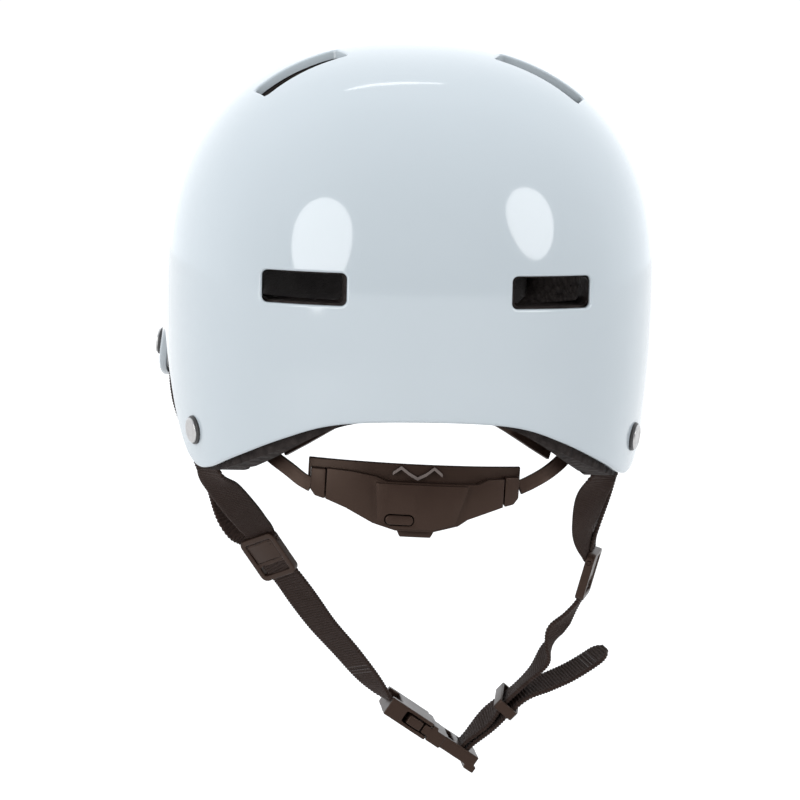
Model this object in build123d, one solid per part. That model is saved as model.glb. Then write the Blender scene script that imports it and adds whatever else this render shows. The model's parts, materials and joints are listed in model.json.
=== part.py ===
"""Hard-shell water helmet: shell, foam liner, fit pads, adjustable nape cradle and webbing harness.

Millimetres. +X is the wearer's right, +Y the way the wearer faces, +Z up. The origin is the middle of
the head opening. Each piece is a closed solid of its own, written to parts/NODE.step.
"""
from math import cos, exp, pi, radians, sin

from build123d import *
import os

# ---------------------------------------------------------------- driving dimensions
HALF_WIDTH = 108.5        # outside of the shell at its widest level
HALF_REAR = 130.0         # from the origin to the back of the shell
HALF_FRONT = 142.0        # from the origin to the brow
WIDEST_Z = 52.0           # height of the widest level
CROWN_RISE = 110.0        # from the widest level to the crown
PROFILE_POWER = 2.45      # superellipse power of the upright section
REAR_POWER = 2.4          # superellipse power of the plan, back half
FRONT_POWER = 2.3         # superellipse power of the plan, front half
TUCK = 0.055              # how far the wall draws in, per unit, 80 mm below the widest level
LOBE_FLARE = 6.0          # how far the temple lobes stand out
LOBE_ANGLE = 18.0         # direction of the temple lobes, degrees forward of sideways
LOBE_SPREAD = 16.0

SHELL_WALL = 3.5
LINER_GAP = 0.3
LINER_WALL = 18.0
PAD_GAP = 0.3
PAD_WALL = 7.0

# side view of the shell's lower edge, as (y, z)
RIM = [(-136, 8), (-130, 6), (-124, 3.5), (-113, -4), (-102, -10.5), (-88, -17), (-76, -21.5), (-66, -22.5),
       (-55, -18), (-42, -4), (-28, 14), (-12, 27), (2, 30), (14, 26), (25, 13), (38, 6), (60, 8), (100, 16),
       (150, 20)]
# rear view of the liner's lower edge, as (x, z), so that its inner side stays behind the shell's edge
REAR_EDGE = [(-95, -42), (-76, -25), (-60, -13), (-48, -4.5), (-35, 2), (-20, 5), (0, 6), (20, 5), (35, 2),
             (48, -4.5), (60, -13), (76, -25), (95, -42)]
LINER_DROP = 2.5          # how far the liner hangs below the shell at the back corners

VENT_INNER, VENT_OUTER = 34.0, 68.5
REAR_VENT_Z, FRONT_VENT_Z, VENT_HEIGHT = 59.0, 66.0, 13.5
CROWN_VENT = (37.0, 17.0)
CROWN_VENT_X, CROWN_VENT_Y, CROWN_VENT_TURN = 51.5, 50.0, 16.0
SIDE_VENT_Y, SIDE_VENT_Z, SIDE_VENT_SIZE = 8.0, 119.0, (17.0, 30.0)
VENT_CORNER = 2.4

RIVET_RADIUS, RIVET_HEAD, RIVET_SHANK = 6.0, 1.6, 1.9
WEB_WIDTH, WEB_THICK = 15.0, 1.5

os.makedirs("parts", exist_ok=True)
NODES = {}


def keep(name, shape):
    """Store one named solid."""
    NODES[name] = shape


# ---------------------------------------------------------------- dome shape
def level_scale(z):
    """Plan size at a height below the widest level."""
    return 1.0 - TUCK * ((WIDEST_Z - z) / 80.0) ** 2


def lobe_flare(angle, z):
    """Extra radius of the temple lobes."""
    t = min(1.0, max(0.0, (50.0 - z) / 40.0))
    fade = t * t * (3 - 2 * t)
    out = 0.0
    for centre in (radians(LOBE_ANGLE), pi - radians(LOBE_ANGLE)):
        out += exp(-(((angle - centre) / radians(LOBE_SPREAD)) ** 2))
    return LOBE_FLARE * fade * out


def plan_point(angle, z, scale, inset):
    """A point of the plan curve at one height."""
    c, s = cos(angle), sin(angle)
    depth, power = (HALF_FRONT, FRONT_POWER) if s >= 0 else (HALF_REAR, REAR_POWER)
    r = (abs(c / (HALF_WIDTH - inset)) ** power + abs(s / (depth - inset)) ** power) ** (-1 / power)
    r = (r + lobe_flare(angle, z)) * scale
    return (r * c, r * s, z)


def dome(inset, floor=-45.0):
    """Closed dome, drawn in by inset all round, as a loft through plan curves."""
    levels = [(z, level_scale(z)) for z in (floor, -20.0, 5.0, 30.0)]
    rise = CROWN_RISE - inset
    for step in (0, 12, 24, 36, 48, 59, 69, 78, 85, 88.5):
        phi = radians(step)
        levels.append((WIDEST_Z + rise * sin(phi) ** (2 / PROFILE_POWER), cos(phi) ** (2 / PROFILE_POWER)))
    rings = []
    count = 28
    for z, scale in levels:
        points = [plan_point(pi / 2 + 2 * pi * i / count - (2 * pi if i > count / 4 * 3 else 0), z, scale, inset)
                  for i in range(count)]
        rings.append(Wire([Edge.make_spline([Vector(*p) for p in points], periodic=True)]))
    return Solid.make_loft(rings)


def side_cutter(profile, bottom=-90.0):
    """Everything below a side-view line, the full width of the helmet."""
    line = Spline(*[(0, y, z) for y, z in profile])
    first, last = profile[0], profile[-1]
    edge = Polyline((0, last[0], last[1]), (0, last[0], bottom), (0, first[0], bottom), (0, first[0], first[1]))
    face = make_face(line + edge)
    return extrude(face, amount=160, dir=(1, 0, 0), both=True)


def rounded_prism(plane, width, height, depth, radius):
    """Rounded rectangle pushed both ways from its plane."""
    return extrude(plane * RectangleRounded(width, height, radius), amount=depth, both=True)


def vent_cutters(shrink=0.0):
    """All ventilation holes, as prisms."""
    span = VENT_OUTER - VENT_INNER - 2 * shrink
    middle = (VENT_OUTER + VENT_INNER) / 2
    tall = VENT_HEIGHT - 2 * shrink
    radius = VENT_CORNER
    cutters = []
    for side in (-1, 1):
        for y, z in ((-115, REAR_VENT_Z), (120, FRONT_VENT_Z)):
            plane = Plane(origin=(side * middle, y, z), x_dir=(1, 0, 0), z_dir=(0, 1, 0))
            cutters.append(rounded_prism(plane, span, tall, 45, radius))
        for fore in (-1, 1):
            plane = Plane(origin=(side * CROWN_VENT_X, fore * CROWN_VENT_Y, 140),
                          x_dir=(cos(radians(CROWN_VENT_TURN)), side * fore * sin(radians(CROWN_VENT_TURN)), 0),
                          z_dir=(0, 0, 1))
            cutters.append(rounded_prism(plane, CROWN_VENT[0] - 2 * shrink, CROWN_VENT[1] - 2 * shrink, 50, radius))
        plane = Plane(origin=(side * 90, SIDE_VENT_Y, SIDE_VENT_Z), x_dir=(0, 1, 0), z_dir=(1, 0, 0))
        cutters.append(rounded_prism(plane, SIDE_VENT_SIZE[0] - 2 * shrink, SIDE_VENT_SIZE[1] - 2 * shrink, 32, radius))
    return cutters


# ---------------------------------------------------------------- shell and liner
below_rim = side_cutter(RIM)
shell = dome(0) - dome(SHELL_WALL, floor=-50) - below_rim
for cutter in vent_cutters():
    shell -= cutter
liner_outer = SHELL_WALL + LINER_GAP
liner_inner = liner_outer + LINER_WALL
liner_rim = []
for y, z in RIM:
    drop = LINER_DROP * exp(-(((y + 100) / 26.0) ** 2))
    liner_rim.append((y * 0.985, z - drop))
below_liner = side_cutter(liner_rim)
below_rear = Spline(*[(x, -60, z) for x, z in REAR_EDGE])
below_rear += Polyline((95, -60, -42), (95, -60, -90), (-95, -60, -90), (-95, -60, -42))
below_rear = extrude(make_face(below_rear), amount=90, dir=(0, -1, 0))
liner = dome(liner_outer) - dome(liner_inner, floor=-50) - below_liner - below_rear
for cutter in vent_cutters(shrink=0.8):
    liner -= cutter

# ---------------------------------------------------------------- rivets and webbing ends
REAR_RIVET = (-33.5, -6.5)      # direction from sideways, degrees, and height
FRONT_RIVET = (17.5, 22.0)
RIVET_HOLE_GAP = 0.1


def wall_plane(angle, z):
    """Plane on the outside of the dome below its widest level, its z axis pointing outwards."""
    step = 0.01
    here = Vector(*plan_point(angle, z, level_scale(z), 0))
    around = Vector(*plan_point(angle + step, z, level_scale(z), 0)) - here
    above = Vector(*plan_point(angle, z + 1, level_scale(z + 1), 0)) - here
    out = around.cross(above).normalized()
    return Plane(origin=here, x_dir=around.normalized(), z_dir=out)


RIVETS = {}
for side, name in ((-1, "left"), (1, "right")):
    for place, (angle, z) in (("rear", REAR_RIVET), ("front", FRONT_RIVET)):
        direction = radians(angle) if side > 0 else pi - radians(angle)
        RIVETS[f"{place}_{name}"] = wall_plane(direction, z)

for name, plane in RIVETS.items():
    place, side_name = name.split("_")
    shell -= extrude(plane.offset(-5) * Circle(RIVET_SHANK), amount=10)
    head = extrude(plane.offset(0.6) * Circle(RIVET_RADIUS), amount=RIVET_HEAD)
    head = fillet(head.edges().sort_by(Axis(plane.origin, plane.z_dir))[-1], 0.9)
    shank = extrude(plane.offset(-8.6) * Circle(RIVET_SHANK - RIVET_HOLE_GAP), amount=9.8)
    keep(f"{place}_rivet_{side_name}", head + shank)
    liner -= extrude(plane.offset(-11.0) * Circle(9.0), amount=9.0)
    washer = extrude(plane.offset(-9.0) * Circle(6.5), amount=1.2)
    washer -= extrude(plane.offset(-12) * Circle(RIVET_SHANK + RIVET_HOLE_GAP), amount=14)
    keep(f"{place}_washer_{side_name}", washer)


# ---------------------------------------------------------------- webbing
def ribbon(stations, width=WEB_WIDTH, thick=WEB_THICK):
    """Flat band through stations of (point, direction across the band)."""
    points = [Vector(*p) for p, _ in stations]
    sections = []
    for i, (_, across) in enumerate(stations):
        ahead = points[min(i + 1, len(points) - 1)] - points[max(i - 1, 0)]
        ahead = ahead.normalized()
        side = Vector(*across)
        side = (side - ahead * side.dot(ahead)).normalized()
        sections.append(Plane(origin=points[i], x_dir=side, z_dir=ahead) * Rectangle(width, thick))
    return loft(sections, ruled=True)


# webbing ends riveted between shell and liner, one at each rivet
REAR_ACROSS = (0.62, -0.78, 0.0)
for side, name in ((-1, "left"), (1, "right")):
    rear = RIVETS[f"rear_{name}"]
    front = RIVETS[f"front_{name}"]
    for place, plane, low in (("rear", rear, 17.0), ("front", front, 16.0)):
        base = plane.offset(-6.3 if place == "rear" else -6.9)
        tab = extrude(base * Pos(0, -(low - 7) / 2) * Rectangle(WEB_WIDTH, low + 7), amount=WEB_THICK / 2, both=True)
        tab -= extrude(plane.offset(-12) * Circle(RIVET_SHANK + RIVET_HOLE_GAP), amount=14)
        keep(f"{place}_web_end_{name}", tab)
        slot = extrude(base.offset(0.6) * Pos(0, -(low - 6) / 2 - 6) * Rectangle(WEB_WIDTH + 1.5, low + 22),
                       amount=WEB_THICK / 2 + 1.4, both=True)
        liner -= slot

LEFT_REAR = [((-87.5, -65.5, -26.0), (0.62, -0.78, 0.0)), ((-81.5, -53, -34), (0.75, -0.6, 0.3)),
             ((-73.5, -37, -45.5), (0.8, -0.5, 0.35)), ((-69.0, -24, -53), (0.75, -0.58, 0.36)),
             ((-66.0, -14.5, -58.5), (0.72, -0.59, 0.37))]
LEFT_FRONT = [((-104.5, 30, -1.0), (0.1, 0.99, 0.0)), ((-99, 22.5, -13), (0.2, 0.95, 0.1)),
              ((-91, 12, -28), (0.3, 0.9, 0.15)), ((-83.5, 2, -42), (0.35, 0.88, 0.2)),
              ((-76, -6, -55), (0.42, 0.85, 0.2)), ((-70.5, -8.0, -60.5), (0.42, 0.85, 0.2))]
RIGHT_REAR = [((81.0, -65.0, -26.0), (0.8, 0.6, 0.0)), ((80.0, -52, -35), (0.75, 0.65, 0.1)),
              ((80.0, -36, -47), (0.55, 0.8, 0.1)), ((81.5, -22, -57), (0.5, 0.85, 0.1)),
              ((84.0, -13.5, -64.0), (0.45, 0.88, 0.1))]
RIGHT_FRONT = [((105.5, 31, -1.0), (-0.1, 0.99, 0.0)), ((103, 24, -13), (-0.15, 0.97, 0.1)),
               ((98.5, 13, -28), (-0.15, 0.96, 0.1)), ((94, 3, -43), (-0.15, 0.95, 0.1)),
               ((89.5, -4.5, -56), (-0.15, 0.95, 0.1)), ((87.8, -6.5, -63), (-0.15, 0.95, 0.1))]
keep("left_rear_strap", ribbon(LEFT_REAR))
keep("left_front_strap", ribbon(LEFT_FRONT))
keep("right_rear_strap", ribbon(RIGHT_REAR))
keep("right_front_strap", ribbon(RIGHT_FRONT))

# ---------------------------------------------------------------- strap dividers
DIV_WIDTH, DIV_LONG, DIV_THICK, DIV_BAR = 20.0, 22.5, 4.0, 2.6
FLAP_THICK = 1.8


def divider(centre, across, along):
    """Frame with a cross bar, and the locking flap that snaps down on the webbing."""
    ax = Vector(*across).normalized()
    down = Vector(*along)
    down = (down - ax * down.dot(ax)).normalized()
    out = ax.cross(down * -1)
    plane = Plane(origin=Vector(*centre), x_dir=ax, z_dir=out)
    frame = extrude(plane * RectangleRounded(DIV_WIDTH, DIV_LONG, 3.0), amount=DIV_THICK / 2, both=True)
    window = extrude(plane * Rectangle(DIV_WIDTH - 2 * DIV_BAR, DIV_LONG - 2 * DIV_BAR), amount=9, both=True)
    frame -= window
    bar = extrude(plane * Pos(0, -3.0) * Rectangle(DIV_WIDTH - DIV_BAR, 2.4), amount=DIV_THICK / 2 - 0.9, both=True)
    frame += bar
    pin_y = DIV_LONG / 2 - DIV_BAR - 1.6
    pin_plane = Plane(origin=plane.from_local_coords(Vector(0, pin_y, 0)), x_dir=out, z_dir=ax)
    pin_hole = extrude(pin_plane * Circle(0.85), amount=DIV_WIDTH, both=True)
    frame -= pin_hole
    pins = extrude(pin_plane * Circle(0.8), amount=DIV_WIDTH / 2 + 0.4, both=True)
    gap = DIV_WIDTH / 2 - DIV_BAR - 0.35
    flap = extrude(plane.offset(-0.4) * Pos(0, pin_y - 4.45) * Rectangle(2 * gap, 8.3), amount=FLAP_THICK)
    hub = extrude(pin_plane * Circle(1.5), amount=gap, both=True)
    flap += hub
    flap += pins
    return plane, frame, flap, pin_plane


LEFT_DIV = divider((-60.2, -10.0, -70.6), (0.72, -0.59, 0.37), (0.64, 0.09, -0.76))
RIGHT_DIV = divider((85.6, -10.0, -77.0), (0.30, 0.94, 0.05), (-0.25, 0.06, -0.96))
for name, (plane, frame, flap, pin_plane) in (("left", LEFT_DIV), ("right", RIGHT_DIV)):
    keep(f"{name}_divider", frame)
    keep(f"{name}_divider_flap", flap)

# ---------------------------------------------------------------- chin straps and buckle
BUCKLE_ORIGIN = Vector(-3.5, 18.6, -143.0)
BUCKLE_AXIS = Vector(0.83, 0.04, -0.55).normalized()
BUCKLE_UP = Vector(0.55, 0.0, 0.83)
BUCKLE_UP = (BUCKLE_UP - BUCKLE_AXIS * BUCKLE_UP.dot(BUCKLE_AXIS)).normalized()
SOCKET_LONG, SOCKET_WIDE, SOCKET_THICK = 23.0, 24.0, 9.0
buckle = Plane(origin=BUCKLE_ORIGIN, x_dir=BUCKLE_AXIS, z_dir=BUCKLE_UP)


def block(x0, x1, y0, y1, z0, z1):
    """Box in the buckle's own axes: x along the strap, y across it, z through its thickness."""
    centre = buckle.from_local_coords(Vector((x0 + x1) / 2, (y0 + y1) / 2, z0))
    plane = Plane(origin=centre, x_dir=buckle.x_dir, z_dir=buckle.z_dir)
    return extrude(plane * Rectangle(x1 - x0, y1 - y0), amount=z1 - z0)


half = SOCKET_WIDE / 2
socket = block(0, SOCKET_LONG, -half, half, -4.5, 4.5)
socket -= block(2.6, 5.6, -8.2, 8.2, -9, 9)
socket -= block(-1, 5.6, -8.2, 8.2, 2.0, 9)
socket -= block(9.0, SOCKET_LONG + 1, -half - 1, half + 1, -2.7, 2.7)
socket_rib = block(9.0, SOCKET_LONG - 5, -1.2, 1.2, -2.8, 2.8)
socket += socket_rib
keep("buckle_socket", socket)

plug = block(SOCKET_LONG + 0.4, SOCKET_LONG + 8, -half, half, -4, 4)
for side in (-1, 1):
    y0, y1 = sorted((side * 9.6, side * (half - 0.2)))
    plug += block(19.5, SOCKET_LONG + 1, y0, y1, -2.3, 2.3)
    y0, y1 = sorted((side * 2.2, side * 4.0))
    plug += block(13.0, SOCKET_LONG + 1, y0, y1, -2.0, 2.0)
plug -= block(SOCKET_LONG + 3.0, SOCKET_LONG + 9, -half - 1, half + 1, 2.6, 5)
LADDER_START = SOCKET_LONG + 8
ladder = block(LADDER_START - 0.5, LADDER_START + 19, -half + 1, half - 1, -3.4, 2.6)
for x0, x1 in ((LADDER_START + 2.2, LADDER_START + 5.6), (LADDER_START + 9.0, LADDER_START + 12.6)):
    ladder -= block(x0, x1, -8.3, 8.3, -9, 9)
lip = block(LADDER_START + 15, LADDER_START + 20.5, -half + 1, half - 1, -5.2, -2.0)
keep("buckle_plug", plug + ladder + lip)
for side, name in ((-1, "rear"), (1, "front")):
    arm0, arm1 = sorted((side * 6.4, side * 8.4))
    prong = block(12.0, 22.4, arm0, arm1, -2.0, 2.0)
    head0, head1 = sorted((side * 7.0, side * (half + 0.9)))
    prong += block(11.0, 18.6, head0, head1, -2.2, 2.2)
    keep(f"buckle_button_{name}", prong)

LEFT_CHIN = [((-49.2, -7.5, -84.0), (0.72, -0.59, 0.37)), ((-43.0, -2.5, -93), (0.7, -0.62, 0.35)),
             ((-34.5, 3.5, -105), (0.6, -0.72, 0.32)), ((-23.5, 9.5, -118), (0.45, -0.85, 0.25)),
             ((-13.5, 14.5, -130.5), (0.25, -0.95, 0.15)), ((-5.2, 18.0, -140.6), (0.0, -1.0, 0.0))]
keep("left_chin_strap", ribbon(LEFT_CHIN))
RIGHT_CHIN = [((81.2, -8.2, -93.0), (0.35, 0.93, 0.0)), ((76.0, -4.5, -99), (0.3, 0.95, 0.0)),
              ((72.5, 0.5, -108), (0.15, 0.98, 0.0)), ((69.0, 6.0, -118.5), (0.05, 0.99, 0.0)),
              ((62.0, 10.5, -129.5), (0.0, 1.0, 0.0)), ((51.5, 14.5, -141.5), (0.0, 1.0, 0.0)),
              ((43.5, 17.6, -151.0), (0.0, 1.0, 0.0)), ((34.4, 19.6, -161.2), (0.0, 1.0, 0.0))]
keep("right_chin_strap", ribbon(RIGHT_CHIN))
TAIL = [((37.4, 19.6, -162.2), (0.0, 1.0, 0.0)), ((45.6, 17.4, -152.8), (0.0, 1.0, 0.0)),
        ((53.8, 14.6, -143.6), (0.0, 1.0, 0.0)), ((61.0, 14.5, -137.8), (0.0, 1.0, 0.0)),
        ((71.0, 17.0, -134.0), (0.0, 1.0, 0.05)), ((82.0, 19.5, -129.5), (0.05, 1.0, 0.1)),
        ((92.0, 21.5, -123.8), (0.08, 1.0, 0.12)), ((100.0, 23.0, -118.2), (0.1, 1.0, 0.15))]
keep("strap_tail", ribbon(TAIL))
keeper_plane = Plane(origin=(52.65, 14.55, -142.55), x_dir=(0.156, 0.971, 0.183), z_dir=(0.63, -0.24, 0.74))
keeper = extrude(keeper_plane * RectangleRounded(WEB_WIDTH + 6.8, 10.8, 1.6), amount=2.4, both=True)
keeper -= extrude(keeper_plane * Rectangle(WEB_WIDTH + 4.4, 8.6), amount=8, both=True)
keep("strap_keeper", keeper)

# ---------------------------------------------------------------- nape cradle
CRADLE_X, CRADLE_TOP = -1.5, -15.8
NAPE_RADIUS, NAPE_BACK = 122.0, -106.0
CAP_START, CAP_END = 38.0, 44.0
cradle_plane = Plane(origin=(CRADLE_X, NAPE_BACK + NAPE_RADIUS, CRADLE_TOP), x_dir=(1, 0, -0.035), z_dir=(0.035, 0, 1))


def nape_layer(outline, outer, inner):
    """A plate with a face outline in (x, z), bent round the nape between two radii."""
    facing = Plane(origin=cradle_plane.origin, x_dir=cradle_plane.x_dir, z_dir=(0, -1, 0))
    plate = extrude(facing * make_face(Polyline(*outline, close=True)), amount=200)
    low = cradle_plane.offset(-60)
    tube = extrude(low * Circle(NAPE_RADIUS + outer), amount=90) - extrude(low * Circle(NAPE_RADIUS + inner), amount=90)
    return plate & tube


COVER = [(-37.4, -3.4), (-27, -3.8), (-17, -5.2), (-12.5, -7), (26, -7), (30.5, -4.8), (37.4, -4.6),
         (37.4, -16.4), (22.5, -21.8), (18.5, -24.6), (8, -27.4), (-8, -27.4), (-17.5, -24.8), (-29, -19.2),
         (-37.4, -16.2)]
PANEL = [(-17, -7.6), (22, -7.6), (17, -23.5), (7.6, -26.2), (-7.6, -26.2), (-16, -23.0)]
FRAME = [(-44.8, 0), (44.8, 0), (44.8, -12), (37, -16.6), (22.5, -22), (18.5, -25), (8, -27.8), (-8, -27.8),
         (-17.5, -25.2), (-29, -19.6), (-41, -15.6), (-44.8, -12)]
PAD = [(-42, -1.5), (42, -1.5), (42, -12), (36, -15), (17, -23.5), (8, -26), (-8, -26), (-17, -23.5), (-29, -18),
       (-42, -13)]
CHANNEL = [(-46, -8.4), (46, -8.4), (46, -14.0), (-46, -14.0)]
cover = nape_layer(COVER, 0, -5.0)
panel = nape_layer(PANEL, 2.2, -1)
cover = cover + panel
channel = nape_layer(CHANNEL, -1.4, -4.2)
cover -= channel
frame_plate = nape_layer(FRAME, -5.6, -8.2)
nape_pad = nape_layer(PAD, -8.4, -13.0)
BUTTON_X, BUTTON_Z = -6.6, -22.6
facing = Plane(origin=cradle_plane.origin, x_dir=cradle_plane.x_dir, z_dir=(0, -1, 0))
button_core = extrude(facing * Pos(BUTTON_X, BUTTON_Z) * SlotOverall(11.6, 3.9), amount=200)
button_well = extrude(facing * Pos(BUTTON_X, BUTTON_Z) * SlotOverall(12.6, 4.9), amount=200)
low_plane = cradle_plane.offset(-60)
button_ring = (extrude(low_plane * Circle(NAPE_RADIUS + 2.9), amount=90)
               - extrude(low_plane * Circle(NAPE_RADIUS - 2.0), amount=90))
well_ring = (extrude(low_plane * Circle(NAPE_RADIUS + 6), amount=90)
             - extrude(low_plane * Circle(NAPE_RADIUS - 3.8), amount=90))
cover -= button_well & well_ring
keep("cradle_cover", cover)
keep("cradle_frame", frame_plate)
keep("nape_pad", nape_pad)
keep("cradle_button", button_core & button_ring)
pull_tab = nape_layer([(-7, -27.9), (9, -27.9), (7.5, -30.8), (-5.5, -30.8)], -5.6, -8.0)
keep("cradle_tab", pull_tab)
wave = [(-10, -3.2), (-6.5, -0.6), (-3.2, -3.0), (0.5, -5.0), (4.2, -3.0), (7.4, -0.4), (11, -3.2)]
wave_low = [(x, z - 1.4) for x, z in reversed(wave)]
keep("cradle_spring", nape_layer(wave + wave_low, -3.4, -5.3))
for side, name in ((-1, "left"), (1, "right")):
    cap_outline = [(side * CAP_START, -3.6), (side * CAP_END, -3.6), (side * CAP_END, -12.5),
                   (side * (CAP_END - 2), -15.2), (side * CAP_START, -16.2)]
    cap = nape_layer(cap_outline, 0.2, -5.0)
    rack_outline = [(side * 14, -9.2), (side * (CAP_START + 1), -9.2), (side * (CAP_START + 1), -13.2),
                    (side * 14, -13.2)]
    keep(f"{name}_end_cap", cap + nape_layer(rack_outline, -1.9, -3.7))

# flexible arms from the end caps to the snap studs inside the liner
STUD = (70.5, -63.6, -1.0)
for side, name in ((-1, "left"), (1, "right")):
    route = [((side * 46.8 + CRADLE_X, -95.3, -24.2), (0.0, 0.15, 1.0)), ((side * 53.5, -92.5, -20.5), (0, 0.2, 1.0)),
             ((side * 61.5, -86.0, -15.5), (0, 0.3, 1.0)), ((side * 67.0, -77.5, -10.0), (0, 0.5, 1.0)),
             ((side * 69.6, -70.8, -6.4), (0, 0.6, 1.0))]
    keep(f"{name}_arm", ribbon(route, width=8.0, thick=2.4))
    liner -= ribbon(route[1:] + [((side * STUD[0], -62.0, 3.0), (0, 0.7, 1.0))], width=22.0, thick=8.0)
    eye_plane = Plane(origin=(side * STUD[0], STUD[1], STUD[2]), x_dir=(0, 1, 0), z_dir=(1, 0, 0))
    eye = extrude(eye_plane * Circle(5.5), amount=1.2, both=True)
    keep(f"{name}_arm_eye", eye - extrude(eye_plane * Circle(2.06), amount=5, both=True))
    outward = eye_plane.offset(side * 1.5)
    stud = extrude(eye_plane.offset(-side * 2.2) * Circle(2.0), amount=side * 4.0)
    stud += extrude(outward * Circle(5.0), amount=side * 5.0)
    cap = extrude(eye_plane.offset(-side * 1.6) * Circle(3.2), amount=-side * 1.2)
    keep(f"{name}_stud", stud + cap)
    liner -= extrude(eye_plane.offset(-side * 4) * Circle(8.0), amount=side * 5.5)
    liner -= extrude(eye_plane * Circle(5.3), amount=side * 7.0)
    band = [((side * 57.0, -81.5, -12.0), (0, 0.2, 1.0)), ((side * 48.5, -86.5, -6.5), (0, 0.2, 1.0)),
            ((side * 38.0, -91.0, 0.5), (0, 0.2, 1.0)), ((side * 27.0, -93.5, 7.0), (0, 0.2, 1.0))]
    keep(f"{name}_height_band", ribbon(band, width=7.0, thick=1.6))

keep("shell", shell)
keep("liner", liner)

# ---------------------------------------------------------------- fit pads inside the liner
pad_outer = dome(liner_inner + PAD_GAP)
pad_inner = dome(liner_inner + PAD_GAP + PAD_WALL, floor=-50)
pad_layer = pad_outer - pad_inner - below_liner


def pad(plane, width, height, depth, radius):
    """A rounded patch of the pad layer."""
    return pad_layer & extrude(plane * RectangleRounded(width, height, radius), amount=depth)


top = Plane(origin=(0, 0, 100), x_dir=(1, 0, 0), z_dir=(0, 0, 1))
keep("crown_pad", pad(top, 46, 110, 80, 18))
for side, name in ((-1, "left"), (1, "right")):
    plane = Plane(origin=(0, 10, 78), x_dir=(0, 1, 0), z_dir=(side, 0, 0))
    keep(f"side_pad_{name}", pad(plane, 84, 44, 120, 14))
front_plane = Plane(origin=(0, 0, 48), x_dir=(1, 0, 0), z_dir=(0, 1, 0))
keep("brow_pad", pad(front_plane, 128, 26, 140, 10))
rear_plane = Plane(origin=(0, 0, 24), x_dir=(1, 0, 0), z_dir=(0, -1, 0))
keep("rear_pad", pad(rear_plane, 112, 30, 140, 11))

for name, shape in NODES.items():
    export_step(shape, f"parts/{name}.step")
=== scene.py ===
"""Water helmet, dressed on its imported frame. Metres, +X the wearer's right, +Y forwards, +Z up.

The sections follow the helmet as it is put together: shell, liner and pads, rivets, webbing, dividers,
nape cradle, chin buckle. Each holds its own sizes, mesh, material and frame calls.
"""

import json
from math import cos, pi, radians, sin

import bmesh
import bpy
import numpy as np
from mathutils import Matrix, Vector

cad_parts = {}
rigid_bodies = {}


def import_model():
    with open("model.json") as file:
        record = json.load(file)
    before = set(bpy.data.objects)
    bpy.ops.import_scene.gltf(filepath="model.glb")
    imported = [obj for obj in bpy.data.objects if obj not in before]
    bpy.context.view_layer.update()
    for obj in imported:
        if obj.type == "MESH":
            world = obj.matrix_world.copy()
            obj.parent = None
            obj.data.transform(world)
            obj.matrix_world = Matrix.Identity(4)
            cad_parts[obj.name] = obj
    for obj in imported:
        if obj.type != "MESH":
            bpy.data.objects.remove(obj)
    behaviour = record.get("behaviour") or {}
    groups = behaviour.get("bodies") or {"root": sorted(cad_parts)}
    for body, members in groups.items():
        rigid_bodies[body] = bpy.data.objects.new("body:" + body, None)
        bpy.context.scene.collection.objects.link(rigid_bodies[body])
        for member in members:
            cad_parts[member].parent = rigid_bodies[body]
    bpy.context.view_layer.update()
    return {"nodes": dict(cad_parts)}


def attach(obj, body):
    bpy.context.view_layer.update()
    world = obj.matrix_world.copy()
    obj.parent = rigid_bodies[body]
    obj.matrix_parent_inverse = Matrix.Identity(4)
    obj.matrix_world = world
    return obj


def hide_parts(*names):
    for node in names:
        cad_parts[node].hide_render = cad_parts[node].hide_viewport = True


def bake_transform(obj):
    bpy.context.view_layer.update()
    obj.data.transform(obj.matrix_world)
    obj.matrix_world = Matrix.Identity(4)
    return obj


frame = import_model()
nodes = frame["nodes"]
scene = bpy.context.scene
MM = 0.001

# ---------------------------------------------------------------------------------------------------
# The studio: a white room and a pale floor, both brighter for the camera than the light they give, an
# oval softbox on either side of the camera, a weak strip light overhead, and a long lens that stands a
# little left of straight behind and looks slightly down.
CAMERA_TURN, CAMERA_RISE, CAMERA_ROLL = radians(4.3), radians(6.5), radians(1.4)
CAMERA_AWAY, CAMERA_LENS, CAMERA_SENSOR, CAMERA_SHIFT, CAMERA_REACH = 1.25, 123.75, 36, -0.005, 50
ROOM_BEHIND, ROOM_AHEAD = (-0.9, 0.16), (0.25, 1.45)          # forward share of a direction, strength
ROOM_SEEN = 1.05
LIGHTS_AIM = (0, 0, 0.06)
FLOOR_Z, FLOOR_REACH, FLOOR_SEEN = -0.34, 9, 0.62

look = Vector((sin(CAMERA_TURN) * cos(CAMERA_RISE), cos(CAMERA_TURN) * cos(CAMERA_RISE), -sin(CAMERA_RISE)))
right = Vector((cos(CAMERA_TURN), -sin(CAMERA_TURN), 0))
upward = right.cross(look)
rolled_right = right * cos(CAMERA_ROLL) + upward * sin(CAMERA_ROLL)
rolled_up = upward * cos(CAMERA_ROLL) - right * sin(CAMERA_ROLL)
camera_data = bpy.data.cameras.new("camera")
camera_data.lens = CAMERA_LENS
camera_data.sensor_width = CAMERA_SENSOR
camera_data.shift_x = CAMERA_SHIFT
camera_data.clip_end = CAMERA_REACH
camera = bpy.data.objects.new("camera", camera_data)
scene.collection.objects.link(camera)
turn = Matrix((rolled_right, rolled_up, -look)).transposed().to_4x4()
camera.matrix_world = Matrix.Translation(-look * CAMERA_AWAY) @ turn
scene.camera = camera
scene.view_settings.view_transform = "Standard"
scene.view_settings.look = "None"

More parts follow.
